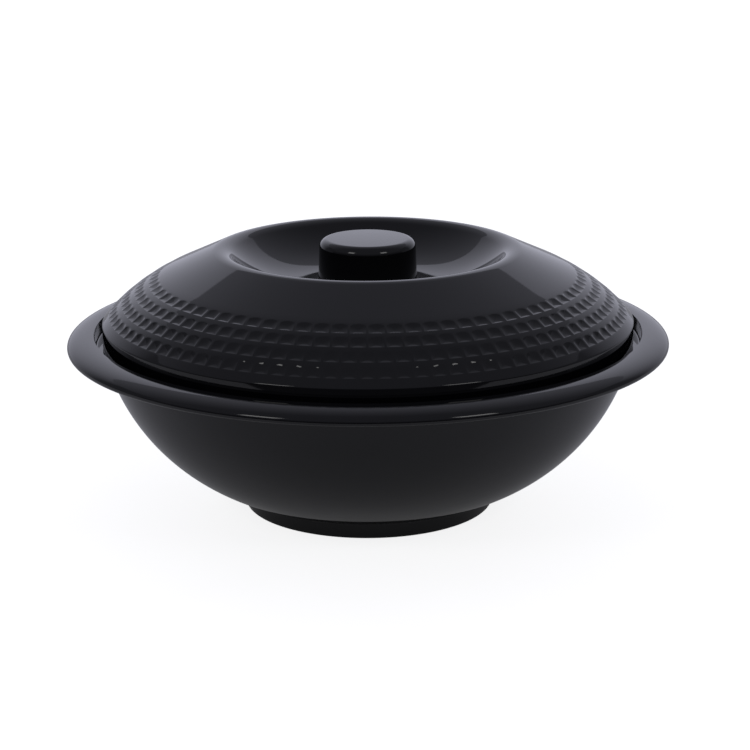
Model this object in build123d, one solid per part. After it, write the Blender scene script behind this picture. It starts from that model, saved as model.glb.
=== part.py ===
from build123d import *
import os
from math import atan2, cos, degrees, hypot, pi, radians, sin, sqrt, tan

# A lidded serving bowl, moulded in glossy black melamine.
#
# Frame: +Z up, +Z is the axis of the bowl, and the origin is the middle of the face
# that the foot ring rests on.  Every size is in millimetres.
#
# The bowl is a shell on a foot ring.  Its rim turns out and down, and a ledge inside
# the rim carries the lid.  The lid is a dome with a rolled crest around a dish, and
# four rings of small pockets around its shoulder.  The knob stands in the dish and
# is held by a screw from below.

# ---- driving sizes -------------------------------------------------------------------

# bowl
RIM_DIAMETER = 250.0        # over the turned-down lip
BOWL_HEIGHT = 75.4          # resting face to the top of the rim
BOWL_WALL = 2.7
FOOT_DIAMETER = 104.4       # at the resting face
FOOT_FLARE = 0.8            # how much wider the foot is where it meets the body
FOOT_HEIGHT = 6.4           # resting face to the body's outer surface
FOOT_WALL = 3.6
FOOT_RECESS = 2.4           # depth of the hollow inside the foot ring
FLOOR_THICKNESS = 3.0
BODY_START_SLOPE = 17.66    # slope of the body where it leaves the foot, in degrees
SEAT_DEPTH = 5.4            # top of the rim to the ledge that carries the lid
SEAT_DRAFT = 0.7            # how much wider the seat wall is at its top
LIP_WIDTH = 11.1            # top of the seat wall to the outside of the lip
LIP_DROP = 4.5              # top of the rim to the widest circle of the lip
LIP_ROUND = 1.5             # lower outer round of the lip
LIP_WALL = 2.8

# lid
LID_GAP = 2.9               # radial gap between the lid's skirt and the seat wall
LID_WALL = 2.6
LID_RISE = 39.2             # ledge to the top of the crest
SKIRT_HEIGHT = 10.3         # ledge to the upper end of the edge round
SKIRT_ROUND = 1.2
SHOULDER_WIDTH = 27.3       # skirt to the circle where the dome starts to curve down
DOME_WIDTH = 21.7           # that circle to the circle along the top of the crest
DOME_ANGLE = 24.5           # slope of the upper dome below level, in degrees
CREST_ROUND = 7.5
DISH_DEPTH = 15.2           # top of the crest to the floor of the dish
DISH_MARGIN = 0.7           # level floor of the dish beyond the knob's foot
POCKET_COUNTS = (80, 88, 94, 98)   # pockets in each ring, top ring first
POCKET_START = 3.6          # first ring, measured down the dome from the shoulder circle
POCKET_LENGTH = 5.0         # down the dome
POCKET_RIB = 2.1            # smooth band between two rings
POCKET_DIVIDER = 0.9        # wall between two pockets of a ring
POCKET_DEPTH = 1.1

# knob and its fixing
KNOB_DIAMETER = 39.8        # just below the top round
KNOB_DRAFT = 0.6            # how much the radius grows down to the base
KNOB_HEIGHT = 19.0
KNOB_TOP_ROUND = 3.6
KNOB_FOOT_FLARE = 1.8       # reach of the thin foot beyond the knob's side
KNOB_FOOT_EDGE = 0.5        # thickness of that foot at its edge
SCREW_DIAMETER = 4.0
SCREW_REACH = 8.0           # length of screw inside the insert
INSERT_WALL = 1.2
INSERT_LENGTH = 10.0
SCREW_HEAD_MARGIN = 2.0     # how far the head reaches beyond the shank
SCREW_HEAD_HEIGHT = 2.6
SCREW_HEAD_ROUND = 1.5
DRIVE_WIDTH = 4.4           # span of the cross recess
DRIVE_SLOT = 1.0
DRIVE_DEPTH = 1.5
WASHER_MARGIN = 2.0         # how far the washer reaches beyond the head
WASHER_THICKNESS = 1.0
WASHER_CHAMFER = 0.2

# clearances and small rounds
LID_REST_GAP = 0.2          # height of the skirt's foot above the ledge
LEDGE_MARGIN = 0.6          # how far the ledge reaches inside the skirt
SCREW_HOLE_GAP = 0.25       # radial, where the screw passes the lid and the washer
INSERT_WELL_GAP = 0.6       # free depth above the insert
EDGE_ROUND = 0.8
SMALL_ROUND = 0.4
POCKET_PROUD = 0.15         # how far a pocket's cutter starts above the surface

# ---- sizes that follow ---------------------------------------------------------------

rim_radius = RIM_DIAMETER / 2
foot_radius = FOOT_DIAMETER / 2
lip_root_radius = rim_radius - LIP_WIDTH
seat_height = BOWL_HEIGHT - SEAT_DEPTH
seat_radius = lip_root_radius - SEAT_DRAFT
skirt_radius = seat_radius - LID_GAP
skirt_inner_radius = skirt_radius - LID_WALL
ledge_underside = seat_height - BOWL_WALL
ledge_outer_radius = lip_root_radius + LIP_WALL
skirt_foot = seat_height + LID_REST_GAP
crest_height = seat_height + LID_RISE
dish_floor_height = crest_height - DISH_DEPTH
knob_base_radius = KNOB_DIAMETER / 2 + KNOB_DRAFT
knob_foot_radius = knob_base_radius + KNOB_FOOT_FLARE
lid_underside = dish_floor_height - LID_WALL
screw_radius = SCREW_DIAMETER / 2
insert_radius = screw_radius + INSERT_WALL
screw_head_radius = screw_radius + SCREW_HEAD_MARGIN
washer_radius = screw_head_radius + WASHER_MARGIN


def polar(centre, radius, angle):
    """The point at an angle in degrees on a circle."""
    turn = radians(angle)
    return (centre[0] + radius * cos(turn), centre[1] + radius * sin(turn))


def leaving_arc(start, end, slope):
    """Centre, radius and end slope of the arc that leaves start at a slope and meets end."""
    across = end[0] - start[0]
    up = end[1] - start[1]
    chord_slope = degrees(atan2(up, across))
    half_turn = chord_slope - slope
    radius = hypot(across, up) / (2 * sin(radians(half_turn)))
    centre = polar(start, radius, slope + 90)
    return centre, abs(radius), chord_slope + half_turn


def arc_between(centre, radius, start, end):
    """The shorter arc on a circle from the direction of one point to that of another."""
    first = degrees(atan2(start[1] - centre[1], start[0] - centre[0]))
    last = degrees(atan2(end[1] - centre[1], end[0] - centre[0]))
    ends = [polar(centre, radius, angle) for angle in (first, (first + last) / 2, last)]
    return ThreePointArc(*ends)


def width_on(centre, radius, height):
    """Distance from the axis of the outer half of a circle at a height."""
    return centre[0] + sqrt(radius ** 2 - (height - centre[1]) ** 2)


def round_corners(sketch, corners):
    """Fillet the sketch's corners nearest to the given points."""
    for point, radius in corners:
        spot = Vector(*point)
        corner = sketch.vertices().sort_by_distance(spot)[0]
        sketch = fillet(corner, radius=radius)
    return sketch


def turned(profile):
    """A body of revolution about Z from a closed profile drawn as (radius, height)."""
    return revolve(Plane.XZ * profile, axis=Axis.Z)


def outline(edges):
    """A face from edges given in order around it."""
    return make_face(Wire(edges))


def polygon_edges(points):
    """Straight edges through the points in order, left open."""
    return [Line(first, last) for first, last in zip(points, points[1:])]


# ---- bowl ----------------------------------------------------------------------------

def make_bowl():
    """The bowl: foot ring, curved body, ledge for the lid and turned-down lip."""
    foot_top = (foot_radius + FOOT_FLARE, FOOT_HEIGHT)
    ledge_root = (skirt_inner_radius - LEDGE_MARGIN + BOWL_WALL, ledge_underside)
    centre, outer, _ = leaving_arc(foot_top, ledge_root, BODY_START_SLOPE)
    inner = outer - BOWL_WALL
    floor_height = FOOT_RECESS + FLOOR_THICKNESS
    floor_edge = (width_on(centre, inner, floor_height), floor_height)
    ledge_inner = (width_on(centre, inner, seat_height), seat_height)
    foot_inner = foot_radius - FOOT_WALL
    lip_middle = (lip_root_radius, BOWL_HEIGHT - LIP_DROP)
    lip_bottom = lip_middle[1] - LIP_ROUND
    groove_edge = rim_radius - LIP_WALL
    groove_middle = (ledge_outer_radius, lip_bottom)
    groove_width = groove_edge - ledge_outer_radius
    groove_top = BOWL_HEIGHT - LIP_WALL
    round_middle = (rim_radius - LIP_ROUND, lip_middle[1])

    edges = polygon_edges([(0, floor_height), (0, FOOT_RECESS), (foot_inner, FOOT_RECESS),
                           (foot_inner, 0), (foot_radius, 0), foot_top])
    edges += [arc_between(centre, outer, foot_top, ledge_root)]
    edges += polygon_edges([ledge_root, (ledge_outer_radius, ledge_underside),
                            (ledge_outer_radius, groove_top)])
    edges += [EllipticalCenterArc(groove_middle, groove_width, groove_top - lip_bottom, arc_size=90)]
    edges += [Line((groove_edge, lip_bottom), (round_middle[0], lip_bottom))]
    edges += [CenterArc(round_middle, LIP_ROUND, -90, 90)]
    edges += [EllipticalCenterArc(lip_middle, LIP_WIDTH, LIP_DROP, arc_size=90)]
    edges += polygon_edges([(lip_root_radius, BOWL_HEIGHT), (seat_radius, seat_height), ledge_inner])
    edges += [arc_between(centre, inner, ledge_inner, floor_edge)]
    edges += [Line(floor_edge, (0, floor_height))]
    profile = round_corners(outline(edges), [
        ((foot_inner, 0), EDGE_ROUND),
        ((foot_radius, 0), EDGE_ROUND),
        ((foot_inner, FOOT_RECESS), EDGE_ROUND),
        (foot_top, EDGE_ROUND),
        (ledge_root, BOWL_WALL),
        ((ledge_outer_radius, ledge_underside), EDGE_ROUND),
        ((groove_edge, lip_bottom), SMALL_ROUND),
        ((lip_root_radius, BOWL_HEIGHT), EDGE_ROUND),
        ((seat_radius, seat_height), EDGE_ROUND),
        (ledge_inner, EDGE_ROUND),
    ])
    return turned(profile)


# ---- lid -----------------------------------------------------------------------------

# The dish's arc starts level at the edge of its floor and ends on the crest's round.
shoulder_radius = skirt_radius - SHOULDER_WIDTH
crest_radius = shoulder_radius - DOME_WIDTH
floor_radius = knob_foot_radius + DISH_MARGIN
dish_slope = degrees(2 * atan2(DISH_DEPTH, crest_radius - floor_radius))
dish_round = (crest_radius - floor_radius) / sin(radians(dish_slope)) - CREST_ROUND
crest_centre = (crest_radius, crest_height - CREST_ROUND)
dish_centre = (floor_radius, dish_floor_height + dish_round)

# The shoulder's arc starts along the dome's slope and ends at the skirt's edge round.
dome_start = polar(crest_centre, CREST_ROUND, 90 - DOME_ANGLE)
shoulder_start = (shoulder_radius,
                  dome_start[1] - (shoulder_radius - dome_start[0]) * tan(radians(DOME_ANGLE)))
edge_height = seat_height + SKIRT_HEIGHT
FIT_STEPS = 12              # each step brings the shoulder's end much closer to the skirt


def fitted_shoulder():
    """The shoulder's arc, its end moved in until the edge round ends on the skirt."""
    end = (skirt_radius, edge_height)
    for _ in range(FIT_STEPS):
        centre, radius, slope = leaving_arc(shoulder_start, end, -DOME_ANGLE)
        end = (skirt_radius - SKIRT_ROUND * (1 + sin(radians(slope))), edge_height)
    return centre, radius, -slope


shoulder_centre, shoulder_round, edge_slope = fitted_shoulder()
shoulder_end = polar(shoulder_centre, shoulder_round, 90 - edge_slope)
edge_centre = polar(shoulder_end, SKIRT_ROUND, -90 - edge_slope)


def lid_curve(depth):
    """The lid's top surface, moved in by a depth, from the axis to the skirt's foot."""
    floor = dish_floor_height - depth
    rounds = [
        (dish_centre, dish_round + depth, -90, -90 + dish_slope),
        (crest_centre, CREST_ROUND - depth, 90 + dish_slope, 90 - DOME_ANGLE),
        (shoulder_centre, shoulder_round - depth, 90 - DOME_ANGLE, 90 - edge_slope),
    ]
    arcs = []
    for centre, radius, first, last in rounds:
        angles = (first, (first + last) / 2, last)
        arcs.append(ThreePointArc(*[polar(centre, radius, angle) for angle in angles]))
    dish, crest, shoulder = arcs
    edges = [Line((0, floor), dish @ 0), dish, crest, Line(crest @ 1, shoulder @ 0), shoulder]
    skirt = skirt_radius - depth
    if depth < SKIRT_ROUND:
        edge_round = SKIRT_ROUND - depth
        angles = (90 - edge_slope, (90 - edge_slope) / 2, 0)
        edge = ThreePointArc(*[polar(edge_centre, edge_round, angle) for angle in angles])
        edges += [edge, Line(edge @ 1, (skirt, skirt_foot))]
        return edges
    # Inside the edge round the shoulder's arc runs on until it meets the skirt.
    radius = shoulder_round - depth
    across = skirt - shoulder_centre[0]
    first = 90 - DOME_ANGLE
    last = degrees(atan2(sqrt(radius ** 2 - across ** 2), across))
    angles = (first, (first + last) / 2, last)
    edges[-1] = ThreePointArc(*[polar(shoulder_centre, radius, angle) for angle in angles])
    return edges + [Line(edges[-1] @ 1, (skirt, skirt_foot))]


def pocket_rows():
    """For each ring: its count, the middle point of its pockets and the slope there."""
    rows = []
    pitch = POCKET_LENGTH + POCKET_RIB
    for index, count in enumerate(POCKET_COUNTS):
        along = POCKET_START + POCKET_LENGTH / 2 + index * pitch
        slope = DOME_ANGLE + degrees(along / shoulder_round)
        rows.append((count, polar(shoulder_centre, shoulder_round, 90 - slope), slope))
    return rows


def pocket_cutters(count, middle, slope):
    """The four-sided pyramids that press one ring of pockets into the shoulder."""
    width = 2 * pi * middle[0] / count - POCKET_DIVIDER
    normal = (sin(radians(slope)), 0, cos(radians(slope)))
    top = (middle[0] + normal[0] * POCKET_PROUD, 0, middle[1] + normal[2] * POCKET_PROUD)
    plane = Plane(origin=top, x_dir=(0, 1, 0), z_dir=normal)
    deep = POCKET_DEPTH + POCKET_PROUD
    taper = degrees(atan2(min(width, POCKET_LENGTH) / 2 - SMALL_ROUND, deep))
    pyramid = extrude(plane * Rectangle(width, POCKET_LENGTH), amount=-deep, taper=taper)
    step = 360 / count
    return [Rot(0, 0, step * (turn + 0.5)) * pyramid for turn in range(count)]


def make_lid():
    """The lid: dish, crest, dome, pocketed shoulder and skirt, with the screw's hole."""
    top = lid_curve(0)
    under = lid_curve(LID_WALL)
    edges = top + under
    edges += [Line((skirt_radius, skirt_foot), (skirt_inner_radius, skirt_foot))]
    edges += [Line((0, lid_underside), (0, dish_floor_height))]
    profile = round_corners(outline(edges), [
        ((skirt_radius, skirt_foot), EDGE_ROUND),
        ((skirt_inner_radius, skirt_foot), EDGE_ROUND),
    ])
    lid = turned(profile)
    lid -= screw_clearance()
    cutters = []
    for count, middle, slope in pocket_rows():
        cutters += pocket_cutters(count, middle, slope)
    return lid - cutters


def screw_clearance():
    """The hole that the screw passes, through the lid and the washer."""
    reach = LID_WALL + WASHER_THICKNESS
    hole = Cylinder(screw_radius + SCREW_HOLE_GAP, 2 * reach)
    return Pos(0, 0, lid_underside) * hole


# ---- knob and its fixing -------------------------------------------------------------

def make_knob():
    """The knob: a drafted button on a thin flared foot, with a well for the insert."""
    top = dish_floor_height + KNOB_HEIGHT
    foot_edge = dish_floor_height + KNOB_FOOT_EDGE
    flare_top = (knob_base_radius, foot_edge + KNOB_FOOT_FLARE)
    well_top = dish_floor_height + INSERT_LENGTH + INSERT_WELL_GAP
    flare_middle = (knob_foot_radius, flare_top[1])
    edges = polygon_edges([(0, top), (0, well_top), (insert_radius, well_top),
                           (insert_radius, dish_floor_height), (knob_foot_radius, dish_floor_height),
                           (knob_foot_radius, foot_edge)])
    edges += [CenterArc(flare_middle, KNOB_FOOT_FLARE, 180, 90)]
    edges += polygon_edges([flare_top, (KNOB_DIAMETER / 2, top), (0, top)])
    profile = round_corners(outline(edges), [
        ((KNOB_DIAMETER / 2, top), KNOB_TOP_ROUND),
    ])
    return turned(profile)


def make_insert():
    """The threaded sleeve moulded into the knob."""
    sleeve = Cylinder(insert_radius, INSERT_LENGTH) - Cylinder(screw_radius, INSERT_LENGTH)
    sleeve = Pos(0, 0, dish_floor_height + INSERT_LENGTH / 2) * sleeve
    lower_rims = sleeve.edges().filter_by(GeomType.CIRCLE).group_by(Axis.Z)[0]
    return chamfer(lower_rims.sort_by(SortBy.RADIUS)[0], SMALL_ROUND)


def make_washer():
    """The plain washer between the screw's head and the underside of the lid."""
    middle = lid_underside - WASHER_THICKNESS / 2
    washer = Pos(0, 0, middle) * Cylinder(washer_radius, WASHER_THICKNESS)
    washer -= screw_clearance()
    rims = washer.edges().filter_by(GeomType.CIRCLE).sort_by(SortBy.RADIUS)[-2:]
    return chamfer(rims, WASHER_CHAMFER)


def make_screw():
    """The pan-head screw with a cross recess, driven up from inside the lid."""
    head_top = lid_underside - WASHER_THICKNESS
    head_bottom = head_top - SCREW_HEAD_HEIGHT
    tip = dish_floor_height + SCREW_REACH
    head = Pos(0, 0, (head_top + head_bottom) / 2) * Cylinder(screw_head_radius, SCREW_HEAD_HEIGHT)
    head = fillet(head.edges().group_by(Axis.Z)[0], SCREW_HEAD_ROUND)
    shank = Pos(0, 0, (head_top + tip) / 2) * Cylinder(screw_radius, tip - head_top)
    shank = chamfer(shank.edges().group_by(Axis.Z)[-1], SMALL_ROUND)
    slot = Box(DRIVE_WIDTH, DRIVE_SLOT, 2 * DRIVE_DEPTH)
    drive = Pos(0, 0, head_bottom) * (slot + Rot(0, 0, 90) * slot)
    return head + shank - drive


# ---- write the pieces ----------------------------------------------------------------

pieces = {
    "bowl": make_bowl(),
    "lid": make_lid(),
    "knob": make_knob(),
    "knob_insert": make_insert(),
    "knob_washer": make_washer(),
    "knob_screw": make_screw(),
}

os.makedirs("parts", exist_ok=True)
for name, piece in pieces.items():
    export_step(piece, os.path.join("parts", name + ".step"))
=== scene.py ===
from math import atan2, cos, hypot, pi, radians, sin, tan

import bmesh
import bpy
from bpy.props import FloatProperty, IntProperty, PointerProperty
from bpy.types import Operator, Panel, PropertyGroup
from mathutils import Matrix, Vector


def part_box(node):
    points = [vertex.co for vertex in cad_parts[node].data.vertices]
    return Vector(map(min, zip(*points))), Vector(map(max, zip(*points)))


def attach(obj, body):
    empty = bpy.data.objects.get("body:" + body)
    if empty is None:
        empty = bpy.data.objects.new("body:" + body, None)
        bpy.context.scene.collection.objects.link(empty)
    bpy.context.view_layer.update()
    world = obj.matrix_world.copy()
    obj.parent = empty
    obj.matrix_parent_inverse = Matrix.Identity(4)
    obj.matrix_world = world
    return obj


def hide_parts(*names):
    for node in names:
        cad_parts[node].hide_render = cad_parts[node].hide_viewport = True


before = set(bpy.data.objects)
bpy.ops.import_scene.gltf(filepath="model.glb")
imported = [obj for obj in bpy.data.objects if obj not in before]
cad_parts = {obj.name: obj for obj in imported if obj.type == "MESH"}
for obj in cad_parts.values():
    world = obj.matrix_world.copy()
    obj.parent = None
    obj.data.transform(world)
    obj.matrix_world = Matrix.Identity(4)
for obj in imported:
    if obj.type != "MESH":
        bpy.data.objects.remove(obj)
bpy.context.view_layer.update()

bl_info = {
    "name": "Lidded serving bowl",
    "version": (1, 0, 0),
    "blender": (4, 5, 0),
    "location": "3D View > Sidebar > Bowl",
    "description": "Builds a moulded melamine serving bowl with its lid, knob and fixing",
    "category": "Add Mesh",
}

MM = 0.001
TINY = 1e-6
AXIS_Z = (0, 0, 1)
# Corners that turn by more than this are shaded as edges.
MOULDED_CREASE = radians(50)
KNOB_CREASE = radians(40)
METAL_CREASE = radians(30)
# Turning about this axis runs counter-clockwise in a profile drawn as (radius, height).
PROFILE_AXIS = (0, -1, 0)


def length(label, millimetres, text):
    """A length property with its default given in millimetres."""
    return FloatProperty(name=label, description=text, default=millimetres * MM,
                         unit="LENGTH", subtype="DISTANCE", precision=5)


def angle(label, degrees_value, text):
    """An angle property with its default given in degrees."""
    return FloatProperty(name=label, description=text, default=radians(degrees_value),
                         unit="ROTATION", subtype="ANGLE")


def count(label, number, text):
    """A whole-number property."""
    return IntProperty(name=label, description=text, default=number, min=1)


# ---- settings ------------------------------------------------------------------------

class BowlSettings(PropertyGroup):
    """Sizes of the bowl that its CAD box does not give."""
    wall: length("Wall", 2.7, "Thickness of the body")
    foot_radius: length("Foot radius", 52.2, "Outside of the foot ring where it rests")
    foot_flare: length("Foot flare", 0.8, "How much wider the foot is at the body")
    foot_height: length("Foot height", 6.4, "Resting face to the body")
    foot_wall: length("Foot wall", 3.6, "Thickness of the foot ring")
    recess: length("Recess", 2.4, "Depth of the hollow inside the foot ring")
    floor: length("Floor", 3.0, "Thickness of the floor")
    start_slope: angle("Start slope", 17.66, "Slope of the body where it leaves the foot")
    seat_depth: length("Seat depth", 5.4, "Top of the rim to the ledge for the lid")
    seat_draft: length("Seat draft", 0.7, "How much wider the seat is at its top")
    ledge_reach: length("Ledge reach", 6.1, "Width of the ledge inside the seat wall")
    lip_width: length("Lip width", 11.1, "Top of the seat wall to the outside of the lip")
    lip_drop: length("Lip drop", 4.5, "Top of the rim to its widest circle")
    lip_round: length("Lip round", 1.5, "Lower outer round of the lip")
    lip_wall: length("Lip wall", 2.8, "Thickness of the lip")
    edge_round: length("Edge round", 0.8, "Round of the moulded corners")
    segments: count("Segments", 320, "Faces around the bowl")


class LidSettings(PropertyGroup):
    """Sizes of the lid that its CAD box does not give."""
    wall: length("Wall", 2.6, "Thickness of the lid")
    skirt_height: length("Skirt height", 10.1, "Foot of the skirt to its edge round")
    skirt_round: length("Edge round", 1.2, "Round between the skirt and the shoulder")
    shoulder_width: length("Shoulder width", 27.3, "Skirt to the start of the shoulder")
    dome_width: length("Dome width", 21.7, "Start of the shoulder to the crest")
    dome_angle: angle("Dome angle", 24.5, "Slope of the straight dome below level")
    crest_round: length("Crest round", 7.5, "Radius of the rolled crest")
    dish_depth: length("Dish depth", 15.2, "Crest to the floor of the dish")
    dish_margin: length("Dish margin", 0.7, "Level floor beyond the knob's foot")
    hole_radius: length("Hole radius", 2.25, "The hole for the knob's screw")
    foot_round: length("Foot round", 0.8, "Round at the foot of the skirt")
    pocket_start: length("Pocket start", 3.6, "Shoulder's start to the first ring")
    pocket_length: length("Pocket length", 5.0, "Length of a pocket down the shoulder")
    pocket_rib: length("Pocket rib", 2.1, "Smooth band between two rings")
    pocket_divider: length("Pocket divider", 0.9, "Wall between two pockets")
    pocket_depth: length("Pocket depth", 1.1, "Depth of a pocket")
    pocket_arch: length("Pocket arch", 1.1, "Rise of a pocket's upper edge")
    pocket_edge: length("Pocket edge", 0.12, "Width of the worn edge round a pocket")


class KnobSettings(PropertyGroup):
    """Sizes of the knob that its CAD box does not give."""
    foot_flare: length("Foot flare", 1.8, "Reach of the thin foot beyond the side")
    foot_edge: length("Foot edge", 0.5, "Thickness of the foot at its edge")
    draft: length("Draft", 0.6, "How much the radius grows from top to base")
    top_round: length("Top round", 3.6, "Round of the upper edge")
    well_radius: length("Well radius", 3.2, "The well that holds the insert")
    well_depth: length("Well depth", 10.6, "Depth of that well")
    segments: count("Segments", 256, "Faces around the knob")


class FixingSettings(PropertyGroup):
    """Sizes of the insert, the washer and the screw that their CAD boxes do not give."""
    thread_radius: length("Thread radius", 2.0, "Outside of the screw's thread")
    thread_pitch: length("Thread pitch", 0.7, "Height of one turn of the thread")
    thread_depth: length("Thread depth", 0.35, "Depth of the thread")
    washer_bore: length("Washer bore", 2.25, "Radius of the washer's hole")
    chamfer: length("Chamfer", 0.2, "Broken edges of the washer")
    head_height: length("Head height", 2.6, "Height of the screw's head")
    head_round: length("Head round", 1.5, "Round of the screw's head")
    drive_width: length("Drive width", 4.4, "Span of the cross recess")
    drive_slot: length("Drive slot", 1.0, "Width of one slot of the cross")
    drive_depth: length("Drive depth", 1.5, "Depth of the cross recess")
    knurl_depth: length("Knurl depth", 0.12, "Depth of the insert's knurling")
    waist_width: length("Waist width", 1.0, "Width of the groove round the insert")
    waist_depth: length("Waist depth", 0.3, "Depth of the groove round the insert")
    segments: count("Segments", 96, "Faces around each piece")


class StageSettings(PropertyGroup):
    """The floor, the lights and the camera."""
    camera_distance: length("Camera distance", 900.0, "Camera to the axis, along Y")
    camera_side: length("Camera side", 2.8, "Camera to the right of the axis")
    camera_height: length("Camera height", 308.9, "Camera above the floor")
    camera_pitch: angle("Camera pitch", 15.809, "How far the camera looks down")
    camera_roll: angle("Camera roll", 0.31, "Lean of the camera")
    floor_size: length("Floor size", 9000.0, "Width of the floor")
    floor_front: length("Floor front", 300.0, "Floor in front of the bowl's axis")
    sweep_radius: length("Sweep radius", 2400.0, "Distance of the pale wall")
    sweep_height: length("Sweep height", 1650.0, "Height of the pale wall")
    sweep_open: angle("Sweep opening", 180.0, "Angle left open on the camera's side")
    card_distance: length("Card distance", 1600.0, "Small front lights to the bowl")
    card_size: length("Card size", 360.0, "Width of a small front light")
    card_height: angle("Card height", 36.0, "Rise of the small front lights")
    card_swing: angle("Card swing", 42.0, "Small front lights to each side of the camera")


class ServingBowlSettings(PropertyGroup):
    """All the settings of the serving bowl."""
    bowl: PointerProperty(type=BowlSettings)
    lid: PointerProperty(type=LidSettings)
    knob: PointerProperty(type=KnobSettings)
    fixing: PointerProperty(type=FixingSettings)
    stage: PointerProperty(type=StageSettings)


# ---- profiles ------------------------------------------------------------------------

def polar(centre, radius, turn):
    """The point at an angle on a circle in the profile's plane."""
    return (centre[0] + radius * cos(turn), centre[1] + radius * sin(turn))


def leaving_arc(start, end, slope):
    """Centre, radius and end slope of the arc that leaves start at a slope and meets end."""
    across = end[0] - start[0]
    up = end[1] - start[1]
    chord_slope = atan2(up, across)
    half_turn = chord_slope - slope
    radius = hypot(across, up) / (2 * sin(half_turn))
    centre = polar(start, radius, slope + pi / 2)
    return centre, abs(radius), chord_slope + half_turn


def circle_width(centre, radius, height):
    """Distance from the axis of the outer half of a circle at a height."""
    return centre[0] + (radius ** 2 - (height - centre[1]) ** 2) ** 0.5


class Profile:
    """A chain of edges in the XZ plane, drawn from one end and spun about Z."""

    def __init__(self, bm, start):
        self.bm = bm
        self.tip = bm.verts.new((start[0], 0, start[1]))
        self.corners = []

    def line(self, end, steps=1):
        """Draw a straight run to a point, in equal steps."""
        start = self.tip.co.copy()
        goal = Vector((end[0], 0, end[1]))
        for step in range(1, steps + 1):
            made = bmesh.ops.extrude_vert_indiv(self.bm, verts=[self.tip])
            self.tip = made["verts"][0]
            self.tip.co = start.lerp(goal, step / steps)
        return self

    def corner(self, radius):
        """Mark the tip as a corner to be rounded, and return the profile."""
        self.corners.append((self.tip, radius))
        return self

    def arc(self, centre, end, steps):
        """Draw the shorter arc about a centre to the direction of a point."""
        first = atan2(self.tip.co.z - centre[1], self.tip.co.x - centre[0])
        last = atan2(end[1] - centre[1], end[0] - centre[0])
        turn = (last - first + pi) % (2 * pi) - pi
        made = bmesh.ops.spin(self.bm, geom=[self.tip], cent=(centre[0], 0, centre[1]),
                              axis=PROFILE_AXIS, angle=turn, steps=steps)
        drawn = [item for item in made["geom_last"] if isinstance(item, bmesh.types.BMVert)]
        self.tip = drawn[0]
        return self

    def quarter_ellipse(self, centre, width, height, first, last, steps):
        """Draw an ellipse's arc as a circle's arc of the same width, flattened."""
        before = set(self.bm.verts)
        self.tip.co = (centre[0] + width * cos(first), 0, centre[1] + width * sin(first))
        start = self.tip
        goal = polar(centre, width, last)
        self.arc(centre, goal, steps)
        drawn = [vert for vert in self.bm.verts if vert not in before] + [start]
        middle = Matrix.Translation((-centre[0], 0, -centre[1]))
        bmesh.ops.scale(self.bm, vec=(1, 1, height / width), space=middle, verts=drawn)
        return self

    def round_corners(self, segments=5):
        """Round each marked corner to its radius."""
        for vert, radius in self.corners:
            sides = [edge.other_vert(vert).co - vert.co for edge in vert.link_edges]
            opening = sides[0].angle(sides[1])
            room = min(side.length for side in sides) * 0.95
            offset = min(radius / tan(opening / 2), room)
            bmesh.ops.bevel(self.bm, geom=[vert], offset=offset, offset_type="OFFSET",
                            segments=segments, profile=0.5, affect="VERTICES", material=-1)
        self.corners = []
        return self


def spin_full(bm, segments):
    """Spin a profile right round Z."""
    bmesh.ops.spin(bm, geom=bm.verts[:] + bm.edges[:], cent=(0, 0, 0), axis=AXIS_Z, angle=2 * pi,
                   steps=segments, use_merge=True)


def close_up(bm):
    """Close the seam and the poles and turn every face outwards."""
    bmesh.ops.remove_doubles(bm, verts=bm.verts[:], dist=TINY)
    bmesh.ops.dissolve_degenerate(bm, edges=bm.edges[:], dist=TINY / 10)
    bmesh.ops.recalc_face_normals(bm, faces=bm.faces[:])


def finish_piece(bm, name, node, body, material, sharp_angle):
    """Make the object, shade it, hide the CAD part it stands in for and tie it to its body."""
    close_up(bm)
    for face in bm.faces:
        face.smooth = True
    mesh = bpy.data.meshes.new(name)
    bm.to_mesh(mesh)
    bm.free()
    mesh.set_sharp_from_angle(angle=sharp_angle)
    piece = bpy.data.objects.new(name, mesh)
    bpy.context.scene.collection.objects.link(piece)
    mesh.materials.append(material)
    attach(piece, body)
    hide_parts(node)
    return piece


# ---- materials -----------------------------------------------------------------------

ROOM_LIGHT = "#EDEEFF"      # slightly cool white of the wall and the room
CARD_GLOW = 2.5             # strength of the small front lights


def srgb(code):
    """A colour from a hex code, turned linear."""
    values = [int(code[place:place + 2], 16) / 255 for place in (1, 3, 5)]
    linear = [value / 12.92 if value <= 0.04045 else ((value + 0.055) / 1.055) ** 2.4
              for value in values]
    return (*linear, 1.0)


def add_node(tree, kind, settings=None, inputs=None):
    """Add a node, set its properties, and fill or link its inputs."""
    node = tree.nodes.new(kind)
    for name, value in (settings or {}).items():
        setattr(node, name, value)
    for name, value in (inputs or {}).items():
        if isinstance(value, bpy.types.NodeSocket):
            tree.links.new(value, node.inputs[name])
        else:
            node.inputs[name].default_value = value
    return node


def new_material(name):
    """An empty node material with its output and shader."""
    material = bpy.data.materials.new(name)
    material.use_nodes = True
    tree = material.node_tree
    tree.nodes.clear()
    output = add_node(tree, "ShaderNodeOutputMaterial")
    shader = add_node(tree, "ShaderNodeBsdfPrincipled")
    tree.links.new(shader.outputs["BSDF"], output.inputs["Surface"])
    return material, tree, shader


def new_glow(name, colour):
    """A material that only gives light, with its tree and its shining node."""
    material = bpy.data.materials.new(name)
    material.use_nodes = True
    tree = material.node_tree
    tree.nodes.clear()
    output = add_node(tree, "ShaderNodeOutputMaterial")
    glow = add_node(tree, "ShaderNodeEmission", inputs={"Color": srgb(colour)})
    tree.links.new(glow.outputs["Emission"], output.inputs["Surface"])
    return material, tree, glow


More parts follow.
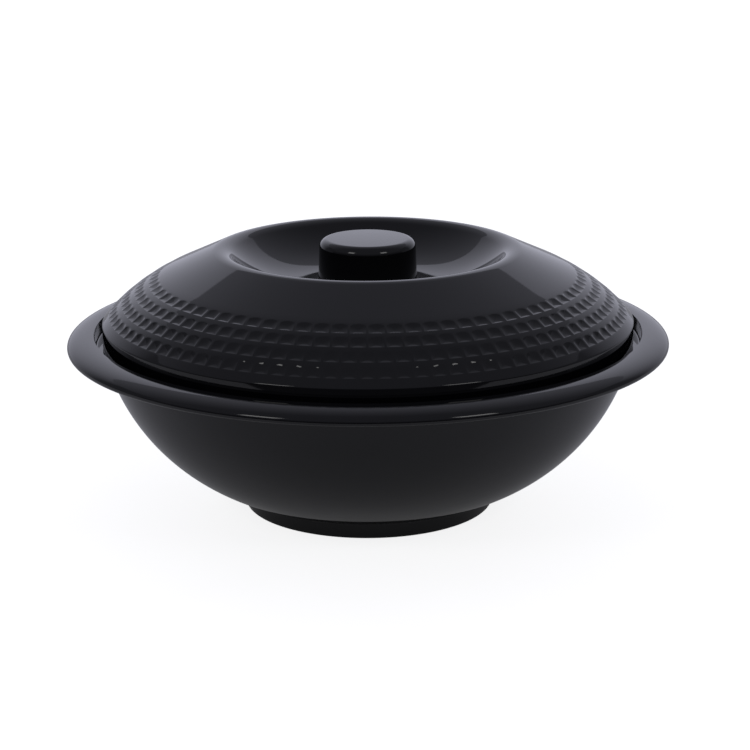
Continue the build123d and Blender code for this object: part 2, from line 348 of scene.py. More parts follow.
def speckle(tree, size, detail, low, high):
    """Noise with a grain of a given size in metres, between two values."""
    place = add_node(tree, "ShaderNodeTexCoord")
    noise = add_node(tree, "ShaderNodeTexNoise", inputs={
        "Vector": place.outputs["Object"], "Scale": 1 / size, "Detail": detail})
    spread = add_node(tree, "ShaderNodeMapRange", inputs={
        "Value": noise.outputs["Fac"], "From Min": 0.3, "From Max": 0.7,
        "To Min": low, "To Max": high})
    return spread.outputs["Result"]


def scratches(tree, size, stretch):
    """Long thin noise that stands for fine scratches round the axis."""
    place = add_node(tree, "ShaderNodeTexCoord")
    split = add_node(tree, "ShaderNodeSeparateXYZ", inputs={"Vector": place.outputs["Object"]})
    around = add_node(tree, "ShaderNodeMath", {"operation": "ARCTAN2"}, {
        0: split.outputs["Y"], 1: split.outputs["X"]})
    flat = add_node(tree, "ShaderNodeCombineXYZ", inputs={
        "X": split.outputs["X"], "Y": split.outputs["Y"]})
    reach = add_node(tree, "ShaderNodeVectorMath", {"operation": "LENGTH"}, {
        0: flat.outputs["Vector"]})
    bent = add_node(tree, "ShaderNodeMath", {"operation": "MULTIPLY"}, {
        0: around.outputs["Value"], 1: size * stretch})
    vector = add_node(tree, "ShaderNodeCombineXYZ", inputs={
        "X": bent.outputs["Value"], "Y": reach.outputs["Value"], "Z": split.outputs["Z"]})
    noise = add_node(tree, "ShaderNodeTexNoise", inputs={
        "Vector": vector.outputs["Vector"], "Scale": 1 / size, "Detail": 2.0})
    return noise.outputs["Fac"]


def moulded_melamine(name, colour, cloud_colour, gloss, scuff=0.0):
    """Compression-moulded melamine: near black, with the hard gloss of a polished mould.

    The pigment clouds very slightly, handling leaves soft patches in the gloss, and the
    surface has the faint long waves of a hand-polished mould.  What lies lowest, within
    a millimetre of the table, is scuffed dull.
    """
    material, tree, shader = new_material(name)
    cloud = speckle(tree, 14 * MM, 3.0, 0.0, 1.0)
    base = add_node(tree, "ShaderNodeMix", {"data_type": "RGBA"}, {
        "Factor": cloud, 6: srgb(colour), 7: srgb(cloud_colour)})
    handled = speckle(tree, 22 * MM, 4.0, gloss * 0.85, gloss * 1.2)
    place = add_node(tree, "ShaderNodeTexCoord")
    split = add_node(tree, "ShaderNodeSeparateXYZ", inputs={"Vector": place.outputs["Object"]})
    worn = add_node(tree, "ShaderNodeMapRange", inputs={
        "Value": split.outputs["Z"], "From Min": 0.3 * MM, "From Max": 1.0 * MM,
        "To Min": scuff, "To Max": 0.0})
    rough = add_node(tree, "ShaderNodeMath", {"operation": "ADD"}, {
        0: handled, 1: worn.outputs["Result"]})
    waves = speckle(tree, 9 * MM, 1.0, 0.0, 1.0)
    grain = speckle(tree, 0.5 * MM, 2.0, 0.0, 1.0)
    long_bump = add_node(tree, "ShaderNodeBump", inputs={
        "Strength": 0.25, "Distance": 0.012 * MM, "Height": waves})
    fine_bump = add_node(tree, "ShaderNodeBump", inputs={
        "Strength": 0.2, "Distance": 0.0006 * MM, "Height": grain,
        "Normal": long_bump.outputs["Normal"]})
    links = tree.links
    links.new(base.outputs[2], shader.inputs["Base Color"])
    links.new(rough.outputs["Value"], shader.inputs["Roughness"])
    links.new(fine_bump.outputs["Normal"], shader.inputs["Normal"])
    shader.inputs["IOR"].default_value = 1.55
    return material


def turned_metal(name, colour, dull_colour, roughness, mark_size):
    """Turned metal: bright, with fine tool rings round the axis and slightly dull patches."""
    material, tree, shader = new_material(name)
    rings = scratches(tree, mark_size, 4.0)
    stain = speckle(tree, 1.5 * MM, 3.0, 0.0, 1.0)
    base = add_node(tree, "ShaderNodeMix", {"data_type": "RGBA"}, {
        "Factor": stain, 6: srgb(colour), 7: srgb(dull_colour)})
    rough = add_node(tree, "ShaderNodeMapRange", inputs={
        "Value": rings, "To Min": roughness * 0.7, "To Max": roughness * 1.5})
    bump = add_node(tree, "ShaderNodeBump", inputs={
        "Strength": 0.4, "Distance": 0.01 * MM, "Height": rings})
    links = tree.links
    links.new(base.outputs[2], shader.inputs["Base Color"])
    links.new(rough.outputs["Result"], shader.inputs["Roughness"])
    links.new(bump.outputs["Normal"], shader.inputs["Normal"])
    shader.inputs["Metallic"].default_value = 1.0
    return material


def pale_floor():
    """Matt pale board, even, with a hardly visible grain and a faint glow.

    It glows far more to the camera's own rays than in reflections.  A real board does
    not do that: it is there so that the floor looks white and the bowl stays dark.
    """
    material, tree, shader = new_material("pale_floor_board")
    tone = speckle(tree, 40 * MM, 2.0, 0.0, 1.0)
    base = add_node(tree, "ShaderNodeMix", {"data_type": "RGBA"}, {
        "Factor": tone, 6: srgb("#EFEFF1"), 7: srgb("#ECECEE")})
    seen = add_node(tree, "ShaderNodeLightPath")
    glow = add_node(tree, "ShaderNodeMapRange", inputs={
        "Value": seen.outputs["Is Camera Ray"], "To Min": 0.09, "To Max": 0.85})
    tree.links.new(base.outputs[2], shader.inputs["Base Color"])
    tree.links.new(glow.outputs["Result"], shader.inputs["Emission Strength"])
    shader.inputs["Emission Color"].default_value = srgb("#FFFFFF")
    shader.inputs["Roughness"].default_value = 0.9
    shader.inputs["Specular IOR Level"].default_value = 0.1
    return material


def glowing_sweep(radius):
    """A lit white wall, brightest behind the bowl and fading round its sides."""
    material, tree, glow = new_glow("white_paper_sweep", ROOM_LIGHT)
    place = add_node(tree, "ShaderNodeTexCoord")
    split = add_node(tree, "ShaderNodeSeparateXYZ", inputs={"Vector": place.outputs["Object"]})
    fade = add_node(tree, "ShaderNodeMapRange", inputs={
        "Value": split.outputs["Y"], "From Min": 0.45 * radius, "From Max": radius,
        "To Min": 0.15, "To Max": 0.82})
    tree.links.new(fade.outputs["Result"], glow.inputs["Strength"])
    return material


def glowing_card(name):
    """A small white diffuser lit from behind, bright enough to glint in the gloss."""
    material, _, glow = new_glow(name, "#FFFFFF")
    glow.inputs["Strength"].default_value = CARD_GLOW
    return material


# ---- bowl ----------------------------------------------------------------------------

GROOVE_ROUND = 0.4 * MM     # inner edge of the turned-down lip


def draw_bowl(bm, sizes, rim_radius, top):
    """The closed profile of the bowl, from the axis out along the top and back below."""
    lip_root = rim_radius - sizes.lip_width
    seat_radius = lip_root - sizes.seat_draft
    seat_height = top - sizes.seat_depth
    underside = seat_height - sizes.wall
    foot_top = (sizes.foot_radius + sizes.foot_flare, sizes.foot_height)
    root = (seat_radius - sizes.ledge_reach + sizes.wall, underside)
    centre, outer, _ = leaving_arc(foot_top, root, sizes.start_slope)
    inner = outer - sizes.wall
    floor = sizes.recess + sizes.floor
    floor_edge = (circle_width(centre, inner, floor), floor)
    ledge_inner = (circle_width(centre, inner, seat_height), seat_height)
    lip_middle = (lip_root, top - sizes.lip_drop)
    lip_bottom = lip_middle[1] - sizes.lip_round
    side_radius = lip_root + sizes.lip_wall
    groove_edge = rim_radius - sizes.lip_wall
    groove_top = top - sizes.lip_wall
    groove_middle = (side_radius, lip_bottom)
    foot_inner = sizes.foot_radius - sizes.foot_wall
    round_middle = (rim_radius - sizes.lip_round, lip_middle[1])

    profile = Profile(bm, (0, floor))
    profile.line(floor_edge, 8)
    profile.arc(centre, ledge_inner, 56)
    profile.corner(sizes.edge_round)
    profile.line((seat_radius, seat_height), 4).corner(sizes.edge_round)
    profile.line((lip_root, top), 3)
    profile.quarter_ellipse(lip_middle, sizes.lip_width, sizes.lip_drop, pi / 2, 0, 28)
    profile.arc(round_middle, (round_middle[0], lip_bottom), 8)
    profile.line((groove_edge, lip_bottom)).corner(GROOVE_ROUND)
    groove_width = groove_edge - side_radius
    profile.quarter_ellipse(groove_middle, groove_width, groove_top - lip_bottom, 0, pi / 2, 12)
    profile.line((side_radius, underside), 3).corner(sizes.edge_round)
    profile.line(root, 3).corner(sizes.wall)
    profile.arc(centre, foot_top, 64)
    profile.corner(sizes.edge_round)
    profile.line((sizes.foot_radius, 0), 3).corner(sizes.edge_round)
    profile.line((foot_inner, 0), 2).corner(sizes.edge_round)
    profile.line((foot_inner, sizes.recess), 2).corner(sizes.edge_round)
    profile.line((0, sizes.recess), 6)
    return profile.round_corners()


class SERVING_OT_bowl(Operator):
    """Build the bowl with its foot ring, ledge and turned-down lip"""
    bl_idname = "serving.bowl"
    bl_label = "Build the bowl"

    def execute(self, context):
        sizes = context.scene.serving_bowl.bowl
        _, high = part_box("bowl")
        bm = bmesh.new()
        draw_bowl(bm, sizes, high.x, high.z)
        spin_full(bm, sizes.segments)
        material = moulded_melamine("melamine_moulded_bowl", "#0B0B0E", "#0D0D11", 0.06,
                                    scuff=0.3)
        finish_piece(bm, "bowl_shell", "bowl", "bowl", material, MOULDED_CREASE)
        return {"FINISHED"}


# ---- lid -----------------------------------------------------------------------------

CELL_COLUMNS = 4            # columns of faces that make one pocket's cell
FIT_STEPS = 12              # each step brings the shoulder's end much closer to the skirt
INNER_ROUND = 1.2 * MM      # inside the lid, where the shoulder meets the skirt


class LidShape:
    """The circles and points of the lid's section, worked out from its sizes."""

    def __init__(self, sizes, skirt_radius, foot, crest_height, knob_reach):
        self.skirt = skirt_radius
        self.foot = foot
        shoulder = skirt_radius - sizes.shoulder_width
        crest = shoulder - sizes.dome_width
        floor_radius = knob_reach + sizes.dish_margin
        slope = 2 * atan2(sizes.dish_depth, crest - floor_radius)
        self.dish_slope = slope
        self.dish_round = (crest - floor_radius) / sin(slope) - sizes.crest_round
        self.crest_round = sizes.crest_round
        self.crest_centre = (crest, crest_height - sizes.crest_round)
        self.floor_height = crest_height - sizes.dish_depth
        self.dish_centre = (floor_radius, self.floor_height + self.dish_round)
        self.dome_angle = sizes.dome_angle
        dome_start = polar(self.crest_centre, self.crest_round, pi / 2 - self.dome_angle)
        drop = (shoulder - dome_start[0]) * tan(self.dome_angle)
        self.shoulder_start = (shoulder, dome_start[1] - drop)
        self.fit_shoulder(sizes)

    def fit_shoulder(self, sizes):
        """Find the shoulder's arc, its end moved in until the edge round meets the skirt."""
        height = self.foot + sizes.skirt_height
        end = (self.skirt, height)
        for _ in range(FIT_STEPS):
            centre, radius, slope = leaving_arc(self.shoulder_start, end, -self.dome_angle)
            end = (self.skirt - sizes.skirt_round * (1 + sin(slope)), height)
        self.shoulder_centre = centre
        self.shoulder_round = radius
        self.edge_slope = -slope
        shoulder_end = polar(centre, radius, pi / 2 - self.edge_slope)
        self.edge_centre = polar(shoulder_end, sizes.skirt_round, -pi / 2 - self.edge_slope)

    def on_shoulder(self, along):
        """The point a distance down the shoulder's arc from its start."""
        slope = self.dome_angle + along / self.shoulder_round
        return polar(self.shoulder_centre, self.shoulder_round, pi / 2 - slope)


def draw_lid_top(bm, sizes, shape, first_pocket):
    """The profile from the screw's hole over the dish and the crest to the first ring."""
    steep = pi / 2 + shape.dish_slope
    shallow = pi / 2 - shape.dome_angle
    profile = Profile(bm, (sizes.hole_radius, shape.floor_height))
    profile.line((shape.dish_centre[0], shape.floor_height), 6)
    crest_foot = polar(shape.crest_centre, shape.crest_round, steep)
    profile.arc(shape.dish_centre, crest_foot, 36)
    profile.arc(shape.crest_centre, polar(shape.crest_centre, shape.crest_round, shallow), 24)
    profile.line(shape.shoulder_start, 6)
    profile.arc(shape.shoulder_centre, first_pocket, 6)
    return profile


def draw_lid_under(bm, sizes, shape, last_pocket):
    """The profile from the last ring round the skirt's foot and up the inside to the hole."""
    wall = sizes.wall
    inner_skirt = shape.skirt - wall
    radius = shape.shoulder_round - wall
    meeting_turn = atan2((radius ** 2 - (inner_skirt - shape.shoulder_centre[0]) ** 2) ** 0.5,
                         inner_skirt - shape.shoulder_centre[0])
    meeting = polar(shape.shoulder_centre, radius, meeting_turn)
    shallow = pi / 2 - shape.dome_angle
    steep = pi / 2 + shape.dish_slope
    shoulder_end = polar(shape.shoulder_centre, shape.shoulder_round,
                         pi / 2 - shape.edge_slope)
    profile = Profile(bm, last_pocket)
    profile.arc(shape.shoulder_centre, shoulder_end, 10)
    profile.arc(shape.edge_centre, (shape.skirt, shape.edge_centre[1]), 8)
    profile.line((shape.skirt, shape.foot), 4).corner(sizes.foot_round)
    profile.line((inner_skirt, shape.foot)).corner(sizes.foot_round)
    profile.line(meeting, 4).corner(INNER_ROUND)
    profile.arc(shape.shoulder_centre, polar(shape.shoulder_centre, radius, shallow), 28)
    crest_radius = shape.crest_round - wall
    profile.line(polar(shape.crest_centre, crest_radius, shallow), 4)
    profile.arc(shape.crest_centre, polar(shape.crest_centre, crest_radius, steep), 16)
    profile.arc(shape.dish_centre, (shape.dish_centre[0], shape.floor_height - wall), 24)
    profile.line((sizes.hole_radius, shape.floor_height - wall), 5)
    return profile.round_corners()


def ring_loop(open_edges, radius, height):
    """Those of the open edges that lie on a circle about the axis."""
    loop = []
    for edge in open_edges:
        level = all(abs(vert.co.z - height) < 2 * TINY for vert in edge.verts)
        round_it = all(abs(vert.co.xy.length - radius) < 5 * TINY for vert in edge.verts)
        if level and round_it:
            loop.append(edge)
    if not loop:
        raise RuntimeError("no open edge at the circle to be joined")
    return loop


def join_part(bm, part):
    """Move a finished part of a piece into the piece's mesh."""
    carrier = bpy.data.meshes.new("carrier")
    part.to_mesh(carrier)
    part.free()
    bm.from_mesh(carrier)
    bpy.data.meshes.remove(carrier)


def press_ring(sizes, start, end, pockets):
    """One ring of pockets: a band spun in cells, each inset and poked to a low pyramid."""
    bm = bmesh.new()
    Profile(bm, start).line(end)
    spin_full(bm, pockets * CELL_COLUMNS)
    close_up(bm)

    # All but one in four of the uprights go, which leaves one face for each cell.
    step = 2 * pi / (pockets * CELL_COLUMNS)
    inner = []
    for edge in bm.edges:
        upright = abs(edge.verts[0].co.z - edge.verts[1].co.z) > TINY
        turn = atan2(edge.verts[0].co.y, edge.verts[0].co.x)
        if upright and round(turn / step) % CELL_COLUMNS:
            inner.append(edge)
    bmesh.ops.dissolve_edges(bm, edges=inner, use_verts=False)
    cells = bm.faces[:]
    bmesh.ops.inset_individual(bm, faces=cells, thickness=sizes.pocket_divider / 2,
                               use_even_offset=True)
    arch_cells(cells, sizes.pocket_arch)
    rims = list({edge for face in cells for edge in face.edges})
    bmesh.ops.recalc_face_normals(bm, faces=bm.faces[:])
    inwards = -1 if sum(face.normal.z for face in cells) > 0 else 1
    bmesh.ops.poke(bm, faces=cells, offset=inwards * sizes.pocket_depth, center_mode="MEAN")
    bmesh.ops.bevel(bm, geom=rims, offset=sizes.pocket_edge, offset_type="OFFSET",
                    segments=2, profile=0.5, affect="EDGES", material=-1, clamp_overlap=True)
    return bm


def arch_cells(cells, rise):
    """Bow the upper edge of each pocket: its ends are drawn down, its middle stays."""
    for face in cells:
        middle = face.calc_center_median()
        radial = Vector((middle.x, middle.y, 0)).normalized()
        across = Vector((-radial.y, radial.x, 0))
        top = max(vert.co.z for vert in face.verts)
        bottom = min(vert.co.z for vert in face.verts)
        reach = max(abs((vert.co - middle).dot(across)) for vert in face.verts)
        upper = [vert for vert in face.verts if vert.co.z > (top + bottom) / 2]
        lower = [vert for vert in face.verts if vert.co.z <= (top + bottom) / 2]
        down = sum((v.co for v in lower), Vector()) / len(lower)
        down -= sum((v.co for v in upper), Vector()) / len(upper)
        down.normalize()
        for vert in upper:
            share = (vert.co - middle).dot(across) / reach
            vert.co += down * rise * share ** 2


class SERVING_OT_lid(Operator):
    """Build the lid with its dish, crest, pocketed shoulder and skirt"""
    bl_idname = "serving.lid"
    bl_label = "Build the lid"

    pocket_counts = (80, 88, 94, 98)

    def execute(self, context):
        sizes = context.scene.serving_bowl.lid
        low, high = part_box("lid")
        _, knob_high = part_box("knob")
        shape = LidShape(sizes, high.x, low.z, high.z, knob_high.x)
        bm = bmesh.new()

        # Each ring's band runs a little past its pockets, which leaves their borders.
        border = sizes.pocket_divider / 2
        pitch = sizes.pocket_length + sizes.pocket_rib
        bands = []
        for index in range(len(self.pocket_counts)):
            first = sizes.pocket_start + index * pitch
            bands.append((shape.on_shoulder(first - border),
                          shape.on_shoulder(first + sizes.pocket_length + border)))
        plain_parts = ((draw_lid_top, bands[0][0], self.pocket_counts[0]),
                       (draw_lid_under, bands[-1][1], self.pocket_counts[-1]))
        for draw, meeting, pockets in plain_parts:
            part = bmesh.new()
            draw(part, sizes, shape, meeting)
            spin_full(part, pockets * CELL_COLUMNS)
            join_part(bm, part)
        for (start, end), pockets in zip(bands, self.pocket_counts):
            join_part(bm, press_ring(sizes, start, end, pockets))
        bmesh.ops.remove_doubles(bm, verts=bm.verts[:], dist=TINY)
        open_edges = [edge for edge in bm.edges if edge.is_boundary]
        for (_, end), (start, _) in zip(bands, bands[1:]):
            loops = ring_loop(open_edges, *end) + ring_loop(open_edges, *start)
            bmesh.ops.bridge_loops(bm, edges=loops)
        hole = ring_loop(open_edges, sizes.hole_radius, shape.floor_height)
        hole += ring_loop(open_edges, sizes.hole_radius, shape.floor_height - sizes.wall)
        bmesh.ops.bridge_loops(bm, edges=hole)
        material = moulded_melamine("melamine_moulded_lid", "#0B0B0E", "#0D0D11", 0.05)
        finish_piece(bm, "lid_shell", "lid", "lid", material, MOULDED_CREASE)
        return {"FINISHED"}


# ---- knob and its fixing -------------------------------------------------------------

INSERT_ROUND = 0.25 * MM    # outer edges of the insert
BORE_ROUND = 0.3 * MM       # lower edge of the insert's bore
TIP_ROUND = 0.4 * MM        # tip of the screw
THREAD_START = 1.2 * MM     # plain shank between the head and the thread
THREAD_END = 0.5 * MM       # plain shank at the tip
THREAD_STEEPNESS = 2.2      # how quickly a thread's flank falls to its root
SCREW_SEGMENTS = 48
SHANK_STEPS = 140           # rows along the shank, enough to draw the thread in


class SERVING_OT_knob(Operator):
    """Build the knob, a drafted button on a thin flared foot"""
    bl_idname = "serving.knob"
    bl_label = "Build the knob"

    def execute(self, context):
        sizes = context.scene.serving_bowl.knob
        low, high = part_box("knob")
        base = high.x - sizes.foot_flare
        flare_top = low.z + sizes.foot_edge + sizes.foot_flare
        well_top = low.z + sizes.well_depth
        bm = bmesh.new()
        profile = Profile(bm, (0, well_top))
        profile.line((sizes.well_radius, well_top), 2)
        profile.line((sizes.well_radius, low.z), 4)
        profile.line((high.x, low.z), 4)
        profile.line((high.x, low.z + sizes.foot_edge))
        profile.arc((high.x, flare_top), (base, flare_top), 10)
        profile.line((base - sizes.draft, high.z)).corner(sizes.top_round)
        profile.line((0, high.z))
        profile.round_corners(segments=16)
        spin_full(bm, sizes.segments)
        material = moulded_melamine("melamine_moulded_knob", "#0C0C0E", "#0E0E10", 0.07)
        finish_piece(bm, "knob_button", "knob", "lid", material, KNOB_CREASE)
        return {"FINISHED"}


class SERVING_OT_insert(Operator):
    """Build the knurled threaded sleeve inside the knob"""
    bl_idname = "serving.insert"
    bl_label = "Build the insert"

    def execute(self, context):
        sizes = context.scene.serving_bowl.fixing
        low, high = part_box("knob_insert")
        bore = sizes.thread_radius
        middle = (low.z + high.z) / 2
        waist = sizes.waist_width / 2
        bm = bmesh.new()
        profile = Profile(bm, (bore, high.z))
        profile.line((high.x, high.z)).corner(INSERT_ROUND)
        profile.line((high.x, middle + waist), 6)
        profile.line((high.x - sizes.waist_depth, middle + waist))
        profile.line((high.x - sizes.waist_depth, middle - waist))
        profile.line((high.x, middle - waist))
        profile.line((high.x, low.z), 6).corner(INSERT_ROUND)
        profile.line((bore, low.z)).corner(BORE_ROUND)
        profile.line((bore, high.z), 10)
        profile.round_corners(segments=2)
        spin_full(bm, sizes.segments)
        close_up(bm)
        self.knurl(bm, sizes, high.x)
        material = turned_metal("brass_turned_insert", "#C9A55A", "#B08D45", 0.28, 0.12 * MM)
        finish_piece(bm, "insert_sleeve", "knob_insert", "lid", material, METAL_CREASE)
        return {"FINISHED"}

    def knurl(self, bm, sizes, outside):
        """Press in two columns in every four of the outer face, which leaves straight ribs."""
        step = 2 * pi / sizes.segments
        for vert in bm.verts:
            reach = hypot(vert.co.x, vert.co.y)
            column = round(atan2(vert.co.y, vert.co.x) / step)
            if reach > outside - 2 * TINY and column % 4 in (1, 2):
                vert.co.xy *= (reach - sizes.knurl_depth) / reach


class SERVING_OT_washer(Operator):
    """Build the plain washer under the head of the screw"""
    bl_idname = "serving.washer"
    bl_label = "Build the washer"

    def execute(self, context):
        sizes = context.scene.serving_bowl.fixing
        low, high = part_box("knob_washer")
        bm = bmesh.new()
        profile = Profile(bm, (sizes.washer_bore, low.z))
        profile.line((high.x, low.z), 3).corner(sizes.chamfer)
        profile.line((high.x, high.z)).corner(sizes.chamfer)
        profile.line((sizes.washer_bore, high.z), 3)
        profile.line((sizes.washer_bore, low.z))
        profile.round_corners(segments=2)
        spin_full(bm, sizes.segments)
        material = turned_metal("steel_stamped_washer", "#C6C7C9", "#A9ABAF", 0.34, 0.2 * MM)
        finish_piece(bm, "washer_ring", "knob_washer", "lid", material, METAL_CREASE)
        return {"FINISHED"}


class SERVING_OT_screw(Operator):
    """Build the pan-head screw with its thread and cross recess"""
    bl_idname = "serving.screw"
    bl_label = "Build the screw"

    def execute(self, context):
        sizes = context.scene.serving_bowl.fixing
        low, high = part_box("knob_screw")
        head_top = low.z + sizes.head_height
        flat = high.x - sizes.head_round
        shank = sizes.thread_radius
        bm = bmesh.new()
        profile = Profile(bm, (0, high.z))
        profile.line((shank, high.z)).corner(TIP_ROUND)
        profile.line((shank, head_top), SHANK_STEPS)
        profile.line((high.x, head_top), 2)
        profile.line((high.x, low.z + sizes.head_round))
        profile.arc((flat, low.z + sizes.head_round), (flat, low.z), 10)
        profile.round_corners(segments=2)
        spin_full(bm, SCREW_SEGMENTS)
        close_up(bm)
        self.cut_thread(bm, sizes, head_top, high.z)
        self.cut_cross(bm, sizes, low.z, flat)
        material = turned_metal("steel_rolled_screw", "#C2C3C6", "#9FA1A6", 0.3, 0.15 * MM)
        finish_piece(bm, "screw_pan_head", "knob_screw", "lid", material, METAL_CREASE)
        return {"FINISHED"}

    def cut_thread(self, bm, sizes, head_top, tip):
        """Draw the shank's surface in along a helix, which leaves a rolled thread."""
        start = head_top + THREAD_START
        for vert in bm.verts:
            reach = hypot(vert.co.x, vert.co.y)
            on_side = abs(reach - sizes.thread_radius) < 2 * TINY
            if not on_side or not start < vert.co.z < tip - THREAD_END:
                continue
            turn = atan2(vert.co.y, vert.co.x) / (2 * pi)
            phase = (vert.co.z / sizes.thread_pitch - turn) % 1.0
            cut = sizes.thread_depth * min(1.0, THREAD_STEEPNESS * (0.5 - abs(phase - 0.5)))
            vert.co.xy *= (reach - cut) / reach

    def cut_cross(self, bm, sizes, bottom, flat):
        """Fill the flat of the head round a cross, and sink the cross."""
        wide = sizes.drive_width / 2
        narrow = sizes.drive_slot / 2
        before = set(bm.faces)
        made = bmesh.ops.create_grid(bm, x_segments=3, y_segments=3, size=wide,
                                     matrix=Matrix.Translation((0, 0, bottom)))
        for vert in made["verts"]:
            for axis in (0, 1):
                if abs(vert.co[axis]) < wide * 0.9:
                    vert.co[axis] = narrow if vert.co[axis] > 0 else -narrow
        tiles = [face for face in bm.faces if face not in before]
        corners = [face for face in tiles
                   if min(abs(axis) for axis in face.calc_center_median().xy) > narrow]
        bmesh.ops.delete(bm, geom=corners, context="FACES")
        cross = [face for face in bm.faces if face not in before]
        sunk = bmesh.ops.extrude_face_region(bm, geom=cross)
        bmesh.ops.delete(bm, geom=cross, context="FACES_ONLY")
        lowered = [item for item in sunk["geom"] if isinstance(item, bmesh.types.BMVert)]
        bmesh.ops.translate(bm, verts=lowered, vec=(0, 0, sizes.drive_depth))
        outline = [edge for edge in bm.edges if edge.is_boundary
                   and all(abs(vert.co.z - bottom) < TINY for vert in edge.verts)]
        bmesh.ops.bridge_loops(bm, edges=outline)


# ---- stage ---------------------------------------------------------------------------

SENSOR_WIDTH = 36.0         # of the camera, in millimetres
LENS = 106.7                # focal length, in millimetres


def stage_object(name, bm, material):
    """Make an object for the stage from a mesh and its material, linked into the scene."""
    mesh = bpy.data.meshes.new(name)
    bm.to_mesh(mesh)
    bm.free()
    item = bpy.data.objects.new(name, mesh)
    bpy.context.scene.collection.objects.link(item)
    mesh.materials.append(material)
    return item


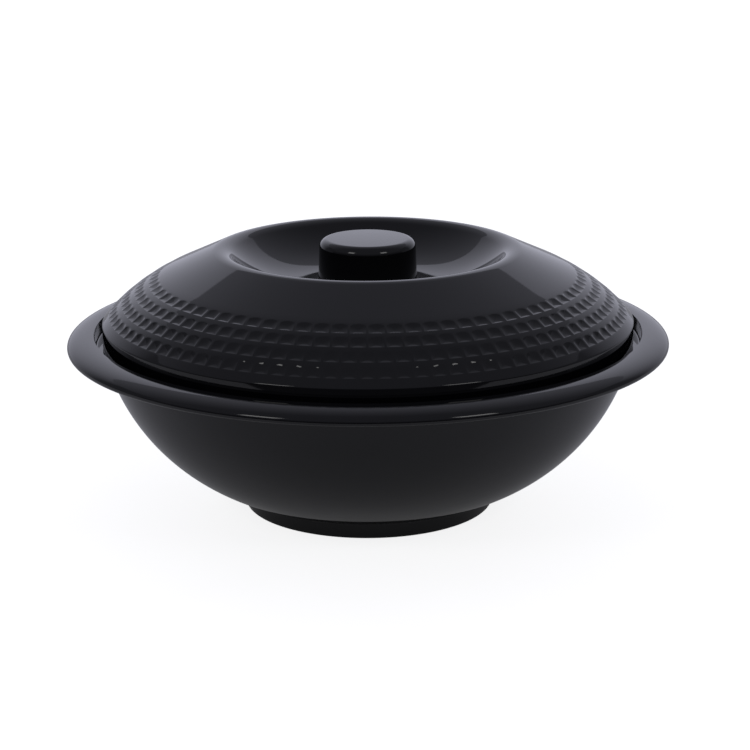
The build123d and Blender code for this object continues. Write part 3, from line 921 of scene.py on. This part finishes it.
class SERVING_OT_stage(Operator):
    """Set up the pale floor, the soft light and the camera"""
    bl_idname = "serving.stage"
    bl_label = "Build the stage"

    def execute(self, context):
        sizes = context.scene.serving_bowl.stage
        low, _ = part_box("bowl")
        self.build_floor(sizes, low.z)
        self.build_sweep(sizes, low.z)
        self.build_cards(sizes, low.z)
        self.build_world(context.scene)
        self.build_camera(context.scene, sizes, low.z)
        return {"FINISHED"}

    def build_floor(self, sizes, level):
        """A wide pale board under the bowl, which ends a little in front of it."""
        bm = bmesh.new()
        bmesh.ops.create_grid(bm, x_segments=8, y_segments=8, size=sizes.floor_size / 2)
        back = sizes.floor_size / 2 - sizes.floor_front
        bmesh.ops.translate(bm, verts=bm.verts[:], vec=(0, back, level))
        stage_object("stage_floor", bm, pale_floor())

    def build_sweep(self, sizes, level):
        """A bright curved wall behind and beside the bowl, open towards the camera."""
        bm = bmesh.new()
        lower = bm.verts.new((0, sizes.sweep_radius, level))
        made = bmesh.ops.extrude_vert_indiv(bm, verts=[lower])
        bmesh.ops.translate(bm, verts=made["verts"], vec=(0, 0, sizes.sweep_height))
        start = -(pi - sizes.sweep_open / 2)
        bmesh.ops.rotate(bm, verts=bm.verts[:], cent=(0, 0, 0),
                         matrix=Matrix.Rotation(start, 3, "Z"))
        bmesh.ops.spin(bm, geom=bm.verts[:] + bm.edges[:], cent=(0, 0, 0), axis=AXIS_Z,
                       angle=-2 * start, steps=96)
        stage_object("stage_sweep", bm, glowing_sweep(sizes.sweep_radius))

    def build_cards(self, sizes, level):
        """Two small soft lights, left and right of the camera, that glint on the edges."""
        for side, name in ((-1, "left"), (1, "right")):
            bm = bmesh.new()
            bmesh.ops.create_grid(bm, x_segments=2, y_segments=2, size=sizes.card_size / 2)
            out = Matrix.Translation((0, 0, sizes.card_distance))
            tilt = Matrix.Rotation(pi / 2 - sizes.card_height, 4, "X")
            swing = Matrix.Rotation(side * sizes.card_swing, 4, "Z")
            raised = Matrix.Translation((0, 0, level))
            bmesh.ops.transform(bm, verts=bm.verts[:], matrix=raised @ swing @ tilt @ out)
            stage_object("stage_card_" + name, bm, glowing_card("white_card_" + name))

    def build_world(self, scene):
        """Soft light from above and behind, which falls away to and below the horizon."""
        world = bpy.data.worlds.new("soft_room")
        scene.world = world
        world.use_nodes = True
        tree = world.node_tree
        tree.nodes.clear()
        output = add_node(tree, "ShaderNodeOutputWorld")
        way = add_node(tree, "ShaderNodeTexCoord")
        split = add_node(tree, "ShaderNodeSeparateXYZ", inputs={
            "Vector": way.outputs["Generated"]})
        height = add_node(tree, "ShaderNodeMapRange", inputs={
            "Value": split.outputs["Z"], "From Min": 0.0, "From Max": 0.45,
            "To Min": 0.05, "To Max": 0.2})
        behind = add_node(tree, "ShaderNodeMapRange", inputs={
            "Value": split.outputs["Y"], "From Min": 0.1, "From Max": 0.7,
            "To Min": 0.0, "To Max": 0.15})
        both = add_node(tree, "ShaderNodeMath", {"operation": "ADD"}, {
            0: height.outputs["Result"], 1: behind.outputs["Result"]})
        glow = add_node(tree, "ShaderNodeBackground", inputs={
            "Color": srgb(ROOM_LIGHT), "Strength": both.outputs["Value"]})
        tree.links.new(glow.outputs["Background"], output.inputs["Surface"])

    def build_camera(self, scene, sizes, level):
        """The camera, a little above the bowl and looking down at it."""
        data = bpy.data.cameras.new("stage_camera")
        data.sensor_width = SENSOR_WIDTH
        data.lens = LENS
        data.clip_start = 0.01
        data.clip_end = 100.0
        camera = bpy.data.objects.new("stage_camera", data)
        scene.collection.objects.link(camera)
        place = (sizes.camera_side, -sizes.camera_distance, level + sizes.camera_height)
        tilt = Matrix.Rotation(pi / 2 - sizes.camera_pitch, 4, "X")
        lean = Matrix.Rotation(-sizes.camera_roll, 4, "Z")
        camera.matrix_world = Matrix.Translation(place) @ tilt @ lean
        scene.camera = camera
        scene.view_settings.view_transform = "Standard"


# ---- panel and registration ----------------------------------------------------------

BUILDERS = ("serving.bowl", "serving.lid", "serving.knob", "serving.insert",
            "serving.washer", "serving.screw", "serving.stage")


class SERVING_PT_panel(Panel):
    """The buttons that build the serving bowl"""
    bl_idname = "SERVING_PT_panel"
    bl_label = "Serving bowl"
    bl_space_type = "VIEW_3D"
    bl_region_type = "UI"
    bl_category = "Bowl"

    def draw(self, context):
        layout = self.layout
        for builder in BUILDERS:
            layout.operator(builder)


CLASSES = (BowlSettings, LidSettings, KnobSettings, FixingSettings, StageSettings,
           ServingBowlSettings, SERVING_OT_bowl, SERVING_OT_lid, SERVING_OT_knob,
           SERVING_OT_insert, SERVING_OT_washer, SERVING_OT_screw, SERVING_OT_stage,
           SERVING_PT_panel)


def register():
    """Register the classes and the settings."""
    for item in CLASSES:
        bpy.utils.register_class(item)
    bpy.types.Scene.serving_bowl = PointerProperty(type=ServingBowlSettings)


def unregister():
    """Take the settings and the classes away again."""
    del bpy.types.Scene.serving_bowl
    for item in reversed(CLASSES):
        bpy.utils.unregister_class(item)


def main():
    """Build every piece and the stage."""
    register()
    bpy.ops.serving.bowl()
    bpy.ops.serving.lid()
    bpy.ops.serving.knob()
    bpy.ops.serving.insert()
    bpy.ops.serving.washer()
    bpy.ops.serving.screw()
    bpy.ops.serving.stage()


if __name__ == "__main__":
    main()
